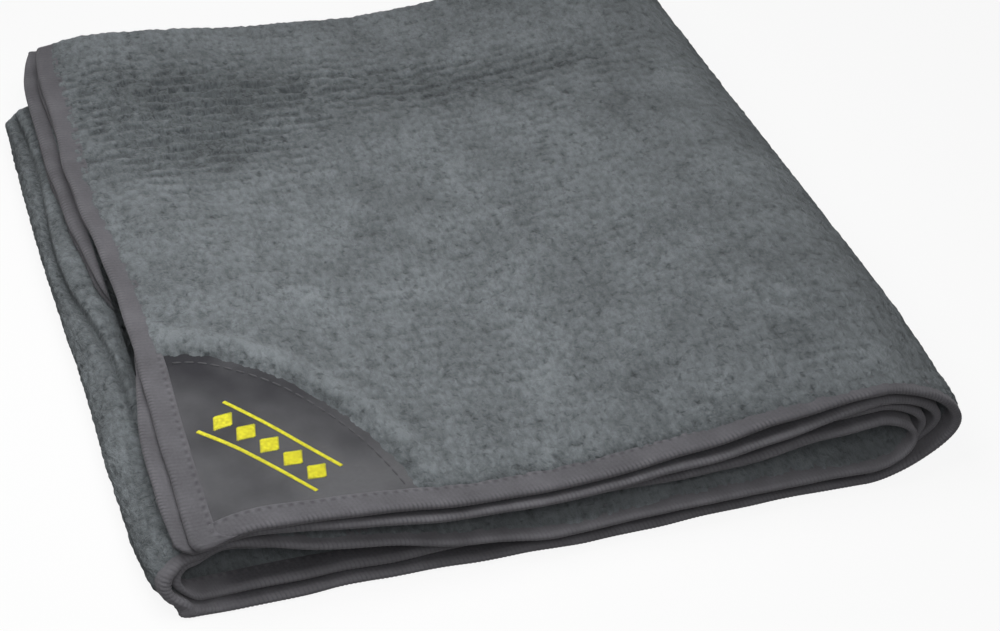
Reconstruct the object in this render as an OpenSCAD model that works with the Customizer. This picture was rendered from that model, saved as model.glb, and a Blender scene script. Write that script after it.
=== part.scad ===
// A microfibre gym towel, folded for storage, in millimetres with +Z up.
// The flat towel is folded once along its length, with that fold at the back and both long edges
// at the front. The two-ply strip is then folded in half at the left and in half again at the right,
// so that eight plies lie on each other.
// Plies are numbered from the floor up: 0 and 1 are the bottom panel, 2 and 3 the middle panel,
// 4 and 5 the tucked panel, 6 and 7 the top panel. Plies 0, 3, 4 and 7 show the towel's outer side.
// The top and tucked panels swing up and over together about the right fold.

/* [Cloth] */
// Depth of the folded towel, from the front edges to the back fold
folded_d = 200; // [150:5:260]
// Width of the folded towel, from the left fold to the right fold
folded_w = 205; // [190:5:280]
// Thickness of one ply of terry
ply_t = 2.2; // [1.9:0.1:2.8]
// Gap between plies that lie pressed together
ply_gap = 0.3; // [0.3:0.05:0.6]

/* [Left fold] */
// How far the left fold's bend reaches past the flat plies
left_fold_w = 10; // [9:0.5:14]
// Height of the hollow where the left fold's bend starts
left_fold_h = 2.5; // [2:0.25:4]
// Height of the left hollow at its fullest
left_hollow_h = 5; // [4:0.25:8]
// Distance from the bend to the fullest place of the left hollow
left_peak_l = 18; // [12:1:25]
// Length of the left hollow
left_hollow_l = 70; // [50:2:90]

/* [Right fold] */
// How far the right fold's bend reaches past the flat plies
right_fold_w = 27; // [24:1:36]
// Height of the hollow inside the right fold
right_hollow_h = 8.5; // [6:0.5:12]
// Gap between the loose plies of the right fold
fold_gap = 1.3; // [0.8:0.1:1.6]
// Length over which the upper plies rise to the right fold
rise_l = 83; // [60:1:100]
// Clearance between the bend and the panels that swing
hinge_clear = 0.2; // [0.1:0.05:0.4]

/* [Free ends] */
// Setback of the top panel's end from the left fold
top_setback = 10; // [6:1:20]
// Setback of the tucked panel's end at the front
tucked_setback_front = 20; // [10:1:30]
// Setback of the tucked panel's end at the back
tucked_setback_back = 7; // [3:1:14]

/* [Overlock edging] */
// Width of the thread band along an edge
edging_w = 6; // [5:0.5:10]
// Thickness of the thread over the cloth
thread_t = 0.5; // [0.3:0.05:0.6]
// Clearance between the thread and the cloth inside it
thread_clear = 0.1; // [0.05:0.05:0.15]

/* [Corner patch] */
// Length of the patch along the front edge
patch_w = 47; // [40:1:70]
// Length of the patch along the panel's end
patch_d = 54; // [40:1:70]
// Radius of the patch's curved side
patch_r = 73; // [65:1:300]
// Thickness of the patch's smooth cloth
patch_t = 0.5; // [0.3:0.05:0.6]
// Depth to which the pile is cut away under the patch
patch_recess = 0.8; // [0.8:0.05:0.9]
// Clearance around the patch
patch_clear = 0.2; // [0.1:0.05:0.4]
// Width of the seam along the patch's curved side
seam_w = 1; // [0.6:0.1:2]
// Distance of that seam from the patch's rim
seam_inset = 1.5; // [0.5:0.1:4]
// Thickness of the seam's thread
seam_t = 0.25; // [0.1:0.05:0.3]

/* [Patch motif] */
// Number of embroidered lozenges
motif_count = 5; // [3:1:5]
// Spacing of the lozenges along the row
motif_pitch = 6.4; // [5.5:0.1:7]
// Size of a lozenge along the row
lozenge_l = 5; // [3:0.1:5.4]
// Size of a lozenge across the row
lozenge_w = 7; // [4:0.5:9]
// Gap between the lozenges and the lines beside them
line_gap = 1.6; // [1:0.1:3]
// Width of those lines
line_w = 1; // [0.6:0.1:1.6]
// Distance of the row's middle from the panel's end band
motif_x = 17.5; // [14:0.5:19]
// Distance of the row's middle from the front band
motif_y = 18; // [14:0.5:19]
// Thickness of the embroidery
motif_t = 0.3; // [0.1:0.05:0.3]

/* [Hidden] */

terry = [0.39, 0.42, 0.43];
thread = [0.38, 0.37, 0.39];
smooth_cloth = [0.28, 0.28, 0.30];
embroidery = [0.85, 0.82, 0.10];

// Spacing of points along a ply, and pieces in a bend
sample_step = 4;
bend_steps = 24;

half_t = ply_t / 2;
pitch = ply_t + ply_gap;
fold_pitch = ply_t + fold_gap;
y_front = -folded_d / 2;
y_back = folded_d / 2;
y_band = y_front + edging_w;
y_back_fold = y_back - ply_t;
x_left_bend = -folded_w / 2 + left_fold_w;
x_right_bend = folded_w / 2 - right_fold_w;
x_swing = x_right_bend - hinge_clear;
x_top_end = -folded_w / 2 + top_setback;
x_tucked_front = -folded_w / 2 + tucked_setback_front;
x_tucked_back = -folded_w / 2 + tucked_setback_back;
core_t = half_t - thread_t;
patch_seat = half_t - patch_recess;
patch_top = patch_seat + patch_t;
// Taller and wider than the towel, for prisms that cut it in plan
reach = folded_w + folded_d;
// How far a cut runs past what it cuts
overcut = 1;
// Plies in all, and plies that the left fold joins
ply_count = 8;
left_ply_count = 4;

function smooth(s) = let (c = min(1, max(0, s))) c * c * (3 - 2 * c);

// Height that the left hollow lifts the plies above it
function left_lift(x) =
    let (d = x - x_left_bend)
    (left_fold_h + (left_hollow_h - left_fold_h) * smooth(d / left_peak_l))
    * (1 - smooth((d - left_peak_l) / (left_hollow_l - left_peak_l)));

// Share of the rise towards the right fold, from 0 to 1
function right_rise(x) = smooth((x - x_right_bend + rise_l) / rise_l);

// Height of the middle of a ply
function ply_z(ply, x) =
    half_t + ply * pitch
    + (ply > 1 ? left_lift(x) : 0)
    + (ply > 3 ? right_rise(x) * (right_hollow_h - ply_gap + (ply - 4) * (fold_gap - ply_gap)) : 0);

// Places along a ply: its two ends, and points on one common grid between them
function stations(ply, x0, x1) =
    ply < 2 ? [x0, x1]
    : concat([x0],
        [for (x = [ceil(x0 / sample_step + 0.01) * sample_step : sample_step : x1 - 0.1]) x],
        [x1]);

function backwards(list) = [for (i = [len(list) - 1 : -1 : 0]) list[i]];

// Half an ellipse from the lower end of a bend to its upper end, side 1 to the right and -1 to the left
function bend_line(x, z0, z1, w, side, off) =
    [for (i = [0 : bend_steps])
        let (a = -90 + 180 * i / bend_steps)
        [x + side * (w + off) * cos(a), (z0 + z1) / 2 + ((z1 - z0) / 2 + off) * sin(a)]];

function right_bend_line(ring, off) =
    bend_line(x_right_bend, ply_z(ring, x_right_bend), ply_z(ply_count - 1 - ring, x_right_bend),
        right_fold_w - half_t - ring * fold_pitch, 1, off);

function left_bend_line(ring, off) =
    bend_line(x_left_bend, ply_z(ring, x_left_bend), ply_z(left_ply_count - 1 - ring, x_left_bend),
        left_fold_w - half_t - ring * pitch, -1, off);

// A section in X and Z, drawn out along Y
module along_y(y0, y1) {
    translate([0, y1, 0]) rotate([90, 0, 0]) linear_extrude(y1 - y0) children();
}

// Section of a ply between two heights, measured from the middle of its first and last ply
module run_section(first, last, x0, x1, low = -half_t, high = half_t) {
    under = [for (x = stations(last, x0, x1)) [x, ply_z(first, x) + low]];
    over = [for (x = stations(last, x0, x1)) [x, ply_z(last, x) + high]];
    polygon(concat(under, backwards(over)));
}

module right_section(outer, inner, low = -half_t, high = half_t) {
    polygon(concat(right_bend_line(outer, high), backwards(right_bend_line(inner, low))));
}

module left_section(outer, inner, low = -half_t, high = half_t) {
    polygon(concat(left_bend_line(outer, high), backwards(left_bend_line(inner, low))));
}

// A two-ply panel: both plies, their thin edges inside the front bands, and the fold along the back
module panel(lower, x0, x1) {
    thin = core_t - thread_clear;
    for (ply = [lower, lower + 1]) {
        along_y(y_band, y_back) run_section(ply, ply, x0, x1);
        along_y(y_front + thread_t + thread_clear, y_band) run_section(ply, ply, x0, x1, -thin, thin);
    }
    along_y(y_back_fold, y_back) run_section(lower, lower + 1, x0, x1);
}

// A prism over the plan between two lines beside a free end, from front to back
module beside_end(x_front, x_back, from, to) {
    translate([0, 0, -reach / 2])
        linear_extrude(reach)
            polygon([[x_front + from, y_front], [x_front + to, y_front],
                [x_back + to, y_back], [x_back + from, y_back]]);
}

// A two-ply panel with a free end, whose last stretch is thin inside the end's band
module free_panel(lower, x_front, x_back) {
    x_far = min(x_front, x_back);
    thin = core_t - thread_clear;
    intersection() {
        panel(lower, x_far, x_swing);
        beside_end(x_front, x_back, edging_w, reach);
    }
    intersection() {
        union() {
            for (ply = [lower, lower + 1])
                along_y(y_front + thread_t + thread_clear, y_back_fold)
                    run_section(ply, ply, x_far, x_swing, -thin, thin);
        }
        beside_end(x_front, x_back, thread_t + thread_clear, edging_w);
    }
}

// The band of thread along the front edge of a ply on a panel with a free end
module free_edging(ply, x_front, x_back) {
    x_far = min(x_front, x_back);
    difference() {
        intersection() {
            along_y(y_front, y_band) run_section(ply, ply, x_far, x_swing);
            beside_end(x_front, x_back, 0, reach);
        }
        intersection() {
            along_y(y_front + thread_t, y_band + overcut)
                run_section(ply, ply, x_far, x_swing + overcut, -core_t, core_t);
            beside_end(x_front, x_back, thread_t, reach);
        }
    }
}

// The band of thread along a panel's free end, over both plies and round the back fold
module end_edging(lower, x_front, x_back) {
    x_far = min(x_front, x_back);
    x_near = max(x_front, x_back) + edging_w;
    difference() {
        intersection() {
            union() {
                for (ply = [lower, lower + 1])
                    along_y(y_band, y_back) run_section(ply, ply, x_far, x_near);
                along_y(y_back_fold, y_back) run_section(lower, lower + 1, x_far, x_near);
            }
            beside_end(x_front, x_back, 0, edging_w);
        }
        intersection() {
            union() {
                for (ply = [lower, lower + 1])
                    along_y(y_band - overcut, y_back_fold)
                        run_section(ply, ply, x_far, x_near, -core_t, core_t);
            }
            beside_end(x_front, x_back, thread_t, edging_w + overcut);
        }
    }
}

// Outline of the patch in plan, from the inside corner of the two bands
module patch_plan(grow = 0) {
    chord = norm([patch_w, patch_d]);
    rise = sqrt(patch_r * patch_r - chord * chord / 4);
    centre = [patch_w / 2 - rise * patch_d / chord, patch_d / 2 - rise * patch_w / chord];
    translate([x_top_end + edging_w, y_band])
        intersection() {
            square(reach);
            translate(centre) circle(patch_r + grow, $fn = 180);
        }
}

// A layer on the top panel's upper ply between two heights, cut to an outline in plan
module patch_layer(low, high) {
    ply = ply_count - 1;
    intersection() {
        along_y(y_band, y_back)
            run_section(ply, ply, x_top_end + edging_w, x_top_end + edging_w + 2 * patch_w, low, high);
        translate([0, 0, -reach / 2]) linear_extrude(reach) children();
    }
}

// The lowest panel, which the folded towel lies on
module bottom_panel() {
    color(terry) panel(0, x_left_bend, x_right_bend);
}

// The panel above it, over the left hollow
module middle_panel() {
    color(terry) panel(2, x_left_bend, x_right_bend);
}

// The bend at the left that joins the bottom and middle panels
module left_fold() {
    thin = core_t - thread_clear;
    color(terry) {
        for (ring = [0, 1]) {
            along_y(y_band, y_back) left_section(ring, ring);
            along_y(y_front + thread_t + thread_clear, y_band) left_section(ring, ring, -thin, thin);
        }
        along_y(y_back_fold, y_back) left_section(0, 1);
    }
}

// One of the two bends at the right, each of two plies
module right_fold(outer) {
    thin = core_t - thread_clear;
    for (ring = [outer, outer + 1]) {
        along_y(y_band, y_back) right_section(ring, ring);
        along_y(y_front + thread_t + thread_clear, y_band) right_section(ring, ring, -thin, thin);
    }
    along_y(y_back_fold, y_back) right_section(outer, outer + 1);
}

// The outer bend, which joins the bottom and top panels
module right_fold_outer() {
    color(terry) right_fold(0);
}

// The bend inside it, which joins the middle and tucked panels
module right_fold_inner() {
    color(terry) right_fold(2);
}

// The panel inside the fold, whose end lies askew
module tucked_panel() {
    color(terry) free_panel(4, x_tucked_front, x_tucked_back);
}

// The top panel, with the pile cut away under its corner patch
module top_panel() {
    color(terry)
        difference() {
            free_panel(6, x_top_end, x_top_end);
            patch_layer(patch_seat, ply_t) patch_plan(patch_clear);
        }
}

// The thread band along the front edges of the two lower panels and the bend between them
module lower_edging(ring) {
    plies = [ring, left_ply_count - 1 - ring];
    color(thread)
        difference() {
            union() {
                for (ply = plies)
                    along_y(y_front, y_band) run_section(ply, ply, x_left_bend, x_right_bend);
                along_y(y_front, y_band) left_section(ring, ring);
            }
            for (ply = plies)
                along_y(y_front + thread_t, y_band + overcut)
                    run_section(ply, ply, x_left_bend, x_right_bend + overcut, -core_t, core_t);
            along_y(y_front + thread_t, y_band + overcut) left_section(ring, ring, -core_t, core_t);
        }
}

module outer_edging_lower() {
    lower_edging(0);
}

module inner_edging_lower() {
    lower_edging(1);
}

// The same band round a pair of the right fold's rings
module fold_edging(rings) {
    color(thread)
        for (ring = rings)
            difference() {
                along_y(y_front, y_band) right_section(ring, ring);
                along_y(y_front + thread_t, y_band + overcut) right_section(ring, ring, -core_t, core_t);
            }
}

module outer_edging_fold() {
    fold_edging([0, 3]);
}

module inner_edging_fold() {
    fold_edging([1, 2]);
}

module outer_edging_tucked() {
    color(thread) free_edging(4, x_tucked_front, x_tucked_back);
}

module inner_edging_tucked() {
    color(thread) free_edging(5, x_tucked_front, x_tucked_back);
}

module outer_edging_top() {
    color(thread) free_edging(ply_count - 1, x_top_end, x_top_end);
}

module inner_edging_top() {
    color(thread) free_edging(6, x_top_end, x_top_end);
}

module end_edging_tucked() {
    color(thread) end_edging(4, x_tucked_front, x_tucked_back);
}

module end_edging_top() {
    color(thread) end_edging(6, x_top_end, x_top_end);
}

// The smooth corner patch, sewn where the pile is cut away
module corner_patch() {
    color(smooth_cloth)
        patch_layer(patch_seat, patch_top)
            intersection() {
                patch_plan();
                translate([x_top_end + edging_w + patch_clear, y_band + patch_clear]) square(reach);
            }
}

// The row of stitches along the patch's curved side
module patch_seam() {
    color(thread)
        patch_layer(patch_top, patch_top + seam_t)
            intersection() {
                difference() {
                    patch_plan(-seam_inset);
                    patch_plan(-seam_inset - seam_w);
                }
                translate([x_top_end + edging_w + patch_clear, y_band + patch_clear]) square(reach);
            }
}

// A plain embroidered border: a row of lozenges between two lines, along the patch's long side
module patch_motif() {
    row_l = motif_count * motif_pitch;
    line_y = lozenge_w / 2 + line_gap;
    color(embroidery)
        patch_layer(patch_top, patch_top + motif_t)
            translate([x_top_end + edging_w + motif_x, y_band + motif_y])
                rotate(-atan2(patch_d, patch_w)) {
                    for (i = [0 : motif_count - 1])
                        translate([(i - (motif_count - 1) / 2) * motif_pitch, 0])
                            polygon([[-lozenge_l / 2, 0], [0, -lozenge_w / 2],
                                [lozenge_l / 2, 0], [0, lozenge_w / 2]]);
                    for (side = [-1, 1])
                        translate([-row_l / 2, side * line_y - line_w / 2])
                            square([row_l, line_w]);
                }
}

bottom_panel();
middle_panel();
left_fold();
right_fold_outer();
right_fold_inner();
tucked_panel();
top_panel();
outer_edging_lower();
inner_edging_lower();
outer_edging_fold();
inner_edging_fold();
outer_edging_tucked();
inner_edging_tucked();
outer_edging_top();
inner_edging_top();
end_edging_tucked();
end_edging_top();
corner_patch();
patch_seam();
patch_motif();
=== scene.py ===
import math

import bmesh
import bpy
import numpy as np
from mathutils import Matrix, Vector


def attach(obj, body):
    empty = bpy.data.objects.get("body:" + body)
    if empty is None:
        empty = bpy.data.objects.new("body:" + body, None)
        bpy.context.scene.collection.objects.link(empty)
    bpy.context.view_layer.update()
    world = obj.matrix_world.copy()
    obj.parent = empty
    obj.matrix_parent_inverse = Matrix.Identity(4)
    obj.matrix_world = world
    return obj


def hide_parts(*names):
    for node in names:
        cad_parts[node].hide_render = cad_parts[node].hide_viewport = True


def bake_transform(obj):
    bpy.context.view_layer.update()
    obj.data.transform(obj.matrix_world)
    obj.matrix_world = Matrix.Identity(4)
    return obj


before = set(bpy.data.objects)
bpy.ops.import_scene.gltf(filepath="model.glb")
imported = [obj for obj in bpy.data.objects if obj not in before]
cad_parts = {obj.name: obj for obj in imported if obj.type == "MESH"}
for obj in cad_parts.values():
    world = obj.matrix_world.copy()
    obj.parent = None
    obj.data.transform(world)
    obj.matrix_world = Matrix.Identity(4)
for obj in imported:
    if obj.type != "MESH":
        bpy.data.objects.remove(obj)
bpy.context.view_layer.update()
scene = bpy.context.scene
scene.view_settings.view_transform = "Standard"

# The camera stands to the left of the towel's front and looks down on it, slightly tilted,
# as a product shot taken by hand over a table.
CAMERA_TURN = math.radians(-23.878)
CAMERA_RISE = math.radians(39.620)
CAMERA_TILT = math.radians(6.503)
CAMERA_DISTANCE = 0.54672
CAMERA_TARGET = Vector((0.00905, -0.01934, 0.0))
lens = bpy.data.cameras.new("camera")
lens.sensor_width = 36.0
lens.lens = 74.49
camera = bpy.data.objects.new("camera", lens)
scene.collection.objects.link(camera)
back = Vector((
    math.sin(CAMERA_TURN) * math.cos(CAMERA_RISE),
    -math.cos(CAMERA_TURN) * math.cos(CAMERA_RISE),
    math.sin(CAMERA_RISE),
))
level = Vector((math.cos(CAMERA_TURN), math.sin(CAMERA_TURN), 0.0))
upright = back.cross(level)
right = level * math.cos(CAMERA_TILT) + upright * math.sin(CAMERA_TILT)
up = upright * math.cos(CAMERA_TILT) - level * math.sin(CAMERA_TILT)
camera.matrix_world = Matrix.Translation(CAMERA_TARGET + back * CAMERA_DISTANCE) @ Matrix(
    (right, up, back)
).transposed().to_4x4()
scene.camera = camera

# The table is a wide white sweep. It looks white to the camera but still takes the towel's shadow.
# Soft light comes from a panel close over the front left, one in front and a weak one behind, and
# from a white ceiling over dark walls.
FLOOR_REACH = 4.0
FLOOR_WHITE = 0.90
FLOOR_BOUNCE = 0.12
FLOOR_GLOW = 0.90
WALL_LIGHT = 0.02
CEILING_LIGHT = 0.16


def new_material(name):
    material = bpy.data.materials.new(name)
    material.use_nodes = True
    tree = material.node_tree
    tree.nodes.clear()
    return material, tree


def add_node(tree, kind, values=None, **settings):
    node = tree.nodes.new(kind)
    for key, value in settings.items():
        setattr(node, key, value)
    for key, value in (values or {}).items():
        if isinstance(value, bpy.types.NodeSocket):
            tree.links.new(value, node.inputs[key])
        else:
            node.inputs[key].default_value = value
    return node


def add_math(tree, operation, *values, clamp=False):
    node = add_node(tree, "ShaderNodeMath", dict(enumerate(values)), operation=operation, use_clamp=clamp)
    return node.outputs[0]


def add_range(tree, value, start, end, low, high):
    return add_node(tree, "ShaderNodeMapRange", {0: value, 1: start, 2: end, 3: low, 4: high}).outputs[0]


def seen_rays(tree):
    """1 for what the camera sees, straight or by gloss or glass, and 0 for the light on the towel."""
    path = add_node(tree, "ShaderNodeLightPath")
    seen = add_math(tree, "MAXIMUM", path.outputs["Is Camera Ray"], path.outputs["Is Glossy Ray"])
    return add_math(tree, "MAXIMUM", seen, path.outputs["Is Transmission Ray"])


def add_object(name, mesh):
    piece = bpy.data.objects.new(name, mesh)
    scene.collection.objects.link(piece)
    return piece


table_white, tree = new_material("table_white")
matt = add_node(tree, "ShaderNodeBsdfDiffuse", {"Color": (FLOOR_WHITE, FLOOR_WHITE, FLOOR_WHITE, 1)})
dull = add_node(tree, "ShaderNodeBsdfDiffuse", {"Color": (FLOOR_BOUNCE, FLOOR_BOUNCE, FLOOR_BOUNCE, 1)})
glow = add_node(tree, "ShaderNodeEmission", {"Color": (1, 1, 1, 1), "Strength": 1.0})
bright = add_node(tree, "ShaderNodeMixShader", {0: FLOOR_GLOW, 1: matt.outputs[0], 2: glow.outputs[0]})
mixed = add_node(tree, "ShaderNodeMixShader", {0: seen_rays(tree), 1: dull.outputs[0], 2: bright.outputs[0]})
add_node(tree, "ShaderNodeOutputMaterial", {"Surface": mixed.outputs[0]})
bm = bmesh.new()
bmesh.ops.create_grid(bm, x_segments=8, y_segments=8, size=FLOOR_REACH)
mesh = bpy.data.meshes.new("table")
bm.to_mesh(mesh)
bm.free()
mesh.materials.append(table_white)
table = add_object("table", mesh)

room = bpy.data.worlds.new("room")
room.use_nodes = True
tree = room.node_tree
tree.nodes.clear()
coords = add_node(tree, "ShaderNodeTexCoord")
height = add_node(tree, "ShaderNodeSeparateXYZ", {0: coords.outputs["Generated"]})
glow = add_range(tree, height.outputs["Z"], 0.1, 0.9, WALL_LIGHT, CEILING_LIGHT)
strength = add_node(tree, "ShaderNodeMix", {0: seen_rays(tree), 2: glow, 3: 1.0})
backdrop = add_node(tree, "ShaderNodeBackground", {"Color": (1, 1, 1, 1), "Strength": strength.outputs[0]})
add_node(tree, "ShaderNodeOutputWorld", {"Surface": backdrop.outputs[0]})
scene.world = room


def add_panel_light(name, place, aim, size, power):
    light = bpy.data.lights.new(name, "AREA")
    light.shape = "SQUARE"
    light.size = size
    light.energy = power
    lamp = bpy.data.objects.new(name, light)
    scene.collection.objects.link(lamp)
    lamp.location = place
    lamp.rotation_euler = (Vector(aim) - Vector(place)).to_track_quat("-Z", "Y").to_euler()


add_panel_light("key_panel", (-0.09, -0.03, 0.245), (-0.035, 0.0, 0), 0.20, 0.53)
add_panel_light("front_panel", (-0.12, -0.42, 0.38), (0, -0.06, 0.01), 0.25, 0.70)
add_panel_light("rear_panel", (0.35, 0.70, 0.22), (0, 0, 0), 0.5, 0.7)

# The bottom panel is the part of the terry sheet that the folded towel lies on. The sheet is a knitted
# microfibre with a looped pile on both faces. It was folded along its length first, so each panel is
# two plies with a round fold at the back and two overlocked edges at the front. Sizes are in mm.
MM = 0.001
FOLDED_DEPTH = 200.0
FOLDED_WIDTH = 205.0
PLY = 2.2
PLY_GAP = 0.3
LEFT_REACH = 10.0
LEFT_LIFT_BEND = 2.5
LEFT_LIFT = 5.0
LEFT_PEAK = 18.0
LEFT_HOLLOW = 70.0
RIGHT_REACH = 27.0
RIGHT_HOLLOW = 8.5
FOLD_GAP = 1.3
RISE = 83.0
HALF = PLY / 2
PITCH = PLY + PLY_GAP
FOLD_PITCH = PLY + FOLD_GAP
FRONT = -FOLDED_DEPTH / 2
BACK = FOLDED_DEPTH / 2
BAND = 6.0
X_LEFT = -FOLDED_WIDTH / 2 + LEFT_REACH
X_RIGHT = FOLDED_WIDTH / 2 - RIGHT_REACH
# The pile outside and inside the plies, its middle, half the cloth under it, and its rounded edge
PILE = 0.42
PILE_INSIDE = 0.1
PILE_MEAN = 0.45
GROUND = 0.42
SHOULDER = 2.4
BACK_BEND = 2.6
BACK_CENTRE = BACK - BACK_BEND
ROW_PITCH = 3.9
# Steps between points where little or nothing shows
COARSE = 3.5
UNSEEN = 9.0


def smooth(s):
    c = np.clip(s, 0.0, 1.0)
    return c * c * (3 - 2 * c)


def eased(value, knots):
    """A soft curve through knots of place and height."""
    places = np.array([k[0] for k in knots], float)
    heights = np.array([k[1] for k in knots], float)
    slopes = np.gradient(heights, places)
    value = np.clip(value, places[0], places[-1])
    i = np.clip(np.searchsorted(places, value) - 1, 0, len(places) - 2)
    run = places[i + 1] - places[i]
    u = (value - places[i]) / run
    return (heights[i] * (1 + 2 * u) * (1 - u) ** 2 + heights[i + 1] * (3 - 2 * u) * u ** 2
            + run * (slopes[i] * u * (1 - u) ** 2 - slopes[i + 1] * (1 - u) * u ** 2))


def ply_height(ply, x):
    """Height of the middle of a ply, counted from the table."""
    d = x - X_LEFT
    lift = (LEFT_LIFT_BEND + (LEFT_LIFT - LEFT_LIFT_BEND) * smooth(d / LEFT_PEAK)) * (
        1 - smooth((d - LEFT_PEAK) / (LEFT_HOLLOW - LEFT_PEAK))
    )
    rise = smooth((x - X_RIGHT + RISE) / RISE)
    z = np.full(np.shape(x), HALF + ply * PITCH)
    if ply > 1:
        z = z + lift
    if ply > 3:
        z = z + rise * (RIGHT_HOLLOW - PLY_GAP + (ply - 4) * (FOLD_GAP - PLY_GAP))
    return z


# How each ply's front edge lies, at places along X from the left fold: how far the edge lies behind
# the folded towel's front, and how far it is lifted or droops
EDGE_LIE = {
    7: [(0, 0.0, -2.8), (10, 0.0, -0.8), (22, 0.0, -1.4), (47, 0.0, -0.7), (61, 0.0, -0.8), (70, 0.0, -1.1),
        (100, 0.0, -1.2), (133, 0.0, -2.3), (150, 0.0, -1.9), (168, 0.0, -1.5)],
    6: [(0, 2.4, -2.4), (10, 2.2, -1.4), (22, 0.6, -1.6), (47, -1.3, -1.1), (70, -1.5, -1.2),
        (85, -1.6, -1.4), (100, -1.5, -1.4), (115, -1.5, -2.1), (133, -1.6, -3.4), (150, -1.0, -2.6),
        (168, 0.2, -1.4)],
    5: [(0, 6.0, -0.5), (25, 4.0, -0.8), (42, 2.2, -0.9), (60, 1.8, -0.6), (100, 1.8, -0.7), (115, 1.6, -1.3),
        (133, 1.4, -2.4), (150, 1.6, -1.5), (168, 1.0, -0.7)],
    4: [(0, 7.0, 0.0), (30, 6.0, 0.0), (70, 4.5, 0.0), (100, 2.0, -0.4), (133, -0.4, -2.4), (150, -1.2, -1.0),
        (168, -1.2, 0.0)],
    3: [(0, 3.8, 1.8), (8, 4.4, 2.2), (16, 2.6, 1.0), (25, 0.4, 0.4), (48, -1.2, -0.2), (60, -2.3, -1.0),
        (70, -3.0, -1.6), (85, -4.4, -2.4), (100, -4.4, -2.4), (115, -4.2, -2.0), (130, -3.9, -2.0),
        (150, -3.9, -2.0), (168, -4.2, -2.1)],
    2: [(0, 4.4, 2.0), (8, 6.0, 2.5), (16, 4.6, 1.2), (25, 3.4, 0.6), (60, 2.6, -0.5), (85, 2.2, -1.3),
        (100, 1.6, -1.3), (125, 0.6, -1.2), (150, 0.2, -1.2), (168, 0.2, -1.2)],
    1: [(0, 0.5, 0.0), (13, 0.5, 0.0), (25, 0.6, 0.0), (48, 0.2, 0.0), (73, 1.6, -0.3), (100, 2.0, -0.6),
        (168, 2.0, -0.6)],
    0: [(0, -1.7, 0.0), (13, -2.2, 0.0), (25, -1.9, 0.0), (48, -1.9, 0.0), (73, -2.6, 0.0), (98, -2.9, 0.0),
        (124, -2.2, 0.0), (150, -2.2, 0.0), (168, -2.8, 0.0)],
}
EDGE_FADE = 42.0
# Where each free ply ends, counted from the left fold, at places along Y from the front
END_LIE = {
    7: [(0, 0.2), (42, 0.5), (60, 1.3), (78, 1.7), (94, 1.4), (111, 0.3), (138, -1.1), (156, -0.2),
        (173, 0.3), (188, 0.4), (197, 2.0), (200, 3.0)],
    6: [(0, -2.6), (42, -2.8), (60, 0.6), (78, 2.6), (94, 2.2), (111, 1.0), (138, -0.4), (160, 0.3),
        (188, 0.4), (197, 2.0), (200, 3.0)],
    5: [(0, 12.0), (45, 8.0), (70, 5.0), (85, 2.4), (98, -0.8), (113, -2.2), (130, -3.3), (164, -3.8),
        (186, -2.8), (197, 0.2), (204, 3.6)],
    4: [(0, 12.5), (45, 8.6), (70, 5.6), (85, 3.0), (98, -0.2), (113, -1.7), (130, -2.8), (164, -3.4),
        (186, -2.6), (197, 0.2), (204, 3.6)],
}
CORNER = 4.0


def edge_lie(ply, x):
    """How far a ply's front edge is pushed back and lifted."""
    push = [(place, behind) for place, behind, _ in EDGE_LIE[ply]]
    lift = [(place, above) for place, _, above in EDGE_LIE[ply]]
    return eased(x - X_LEFT, push), eased(x - X_LEFT, lift)


def end_place(ply, y):
    """Where a free ply ends, with its front corner rounded."""
    near = np.clip(y - FRONT, 0, CORNER)
    return X_LEFT + eased(y - FRONT, END_LIE[ply]) + CORNER - np.sqrt(CORNER ** 2 - (CORNER - near) ** 2)


def settle(x, y, z):
    """Where a point of the neatly folded towel really lies, with fold corners drawn in, dips and bulges."""
    depth = y - FRONT
    across = x - X_LEFT
    at_back = eased(across, [(0, 1.02), (30, 1.01), (50, 1.08), (79, 1.11), (95, 1.07), (135, 0.95),
                             (193, 0.94)])
    z = z * (1 + (at_back - 1) * smooth(depth / 190))
    z = z * (1 + 0.025 * np.sin(across / 23 + 0.6) * np.sin(depth / 31 + 0.4) * smooth(depth / 60))
    bulge = eased(depth, [(0, -2.9), (5, -2.0), (12, -1.8), (30, -1.6), (67, -1.7), (130, -2.0),
                          (200, -2.8)])
    round_fold = np.clip((x - X_RIGHT) / RIGHT_REACH, 0, 1)
    x = x + bulge * smooth(round_fold) - 12 * round_fold * (1 - round_fold) * (1 - smooth(depth / 40))
    bulge = eased(depth, [(0, 6.2), (5, 3.4), (13, 1.4), (31, 0.5), (47, 0.0), (65, 0.6), (99, -0.5),
                          (120, -1.0), (172, 0.0), (189, 1.3), (200, 4.0)])
    low = smooth((z + 0.5) / 4.0) * (1 - smooth((z - 13.5) / 4))
    outer = 1 - 0.4 * smooth((X_LEFT - 6 - x) / 4)
    x = x + bulge * smooth((X_LEFT + LEFT_REACH - x) / (2 * LEFT_REACH)) * low * outer
    return x, y, z


def lattice(s, t, cell, seed):
    """Soft random heights from 0 to 1 on the sheet, one hill or dip per cell."""
    size = 256
    heights = np.random.default_rng(seed).random((size, size))
    s, t = s / cell, t / cell
    i, j = np.floor(s).astype(int), np.floor(t).astype(int)
    u, v = smooth(s - i), smooth(t - j)
    i0, i1, j0, j1 = i % size, (i + 1) % size, j % size, (j + 1) % size
    near = heights[i0, j0] * (1 - u) + heights[i1, j0] * u
    far = heights[i0, j1] * (1 - u) + heights[i1, j1] * u
    return near * (1 - v) + far * v


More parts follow.
